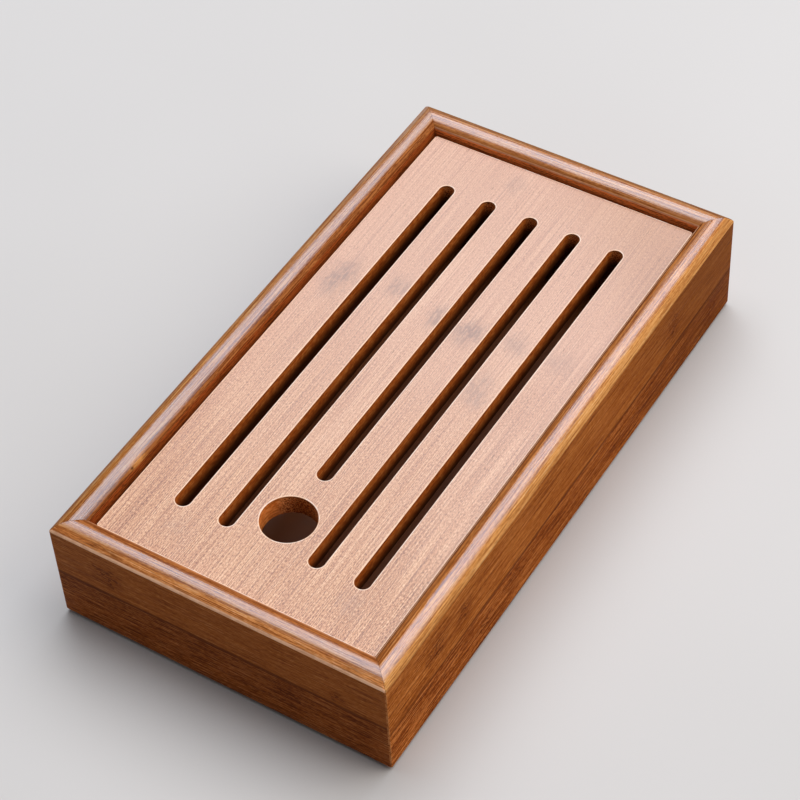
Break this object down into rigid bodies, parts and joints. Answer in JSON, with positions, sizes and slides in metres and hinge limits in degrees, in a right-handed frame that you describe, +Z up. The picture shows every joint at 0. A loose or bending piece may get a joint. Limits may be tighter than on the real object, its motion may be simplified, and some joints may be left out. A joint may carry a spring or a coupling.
{
  "type": "gongfu tea tray",
  "caption": "Shallow bamboo tea tray: mitred frame with a crowned rim, lift-out slotted panel with a finger hole, and a lift-out drip tray below.",
  "frame": {"origin": "middle of the footprint, on the plane the feet stand on", "axes": "+X along the length, away from the end with the finger hole; +Y across the width; +Z up"},
  "size_m": [0.27, 0.1466, 0.0514],
  "materials": {
    "bamboo_frame": "satin lacquer",
    "bamboo_panel": "fine sanded, satin",
    "bamboo_inner": "sawn, unlacquered",
    "base_board": "thin lacquer",
    "drip_plastic": "smooth moulded, semi-gloss",
    "rubber_foot": "matte"
  },
  "bodies": {
    "frame": {"long_rail_left": "bamboo_frame", "long_rail_right": "bamboo_frame", "end_rail_front": "bamboo_frame", "end_rail_rear": "bamboo_frame", "corner_key_fl": "bamboo_inner", "corner_key_fr": "bamboo_inner", "corner_key_rl": "bamboo_inner", "corner_key_rr": "bamboo_inner", "base_board": "base_board", "ledge_left": "bamboo_inner", "ledge_right": "bamboo_inner", "ledge_front": "bamboo_inner", "ledge_rear": "bamboo_inner", "foot_fl": "rubber_foot", "foot_fr": "rubber_foot", "foot_rl": "rubber_foot", "foot_rr": "rubber_foot"},
    "drip_tray": {"drip_tray": "drip_plastic"},
    "panel": {"slotted_panel": "bamboo_panel", "panel_batten_front": "bamboo_inner", "panel_batten_rear": "bamboo_inner"}
  },
  "joints": [
    {"name": "drip_tray_lift", "type": "slide", "parent": "frame", "child": "drip_tray", "axis": [0, 0, 1], "range_m": [0, 0.06]},
    {"name": "panel_lift", "type": "slide", "parent": "drip_tray", "child": "panel", "axis": [0, 0, 1], "range_m": [0, 0.06]}
  ]
}
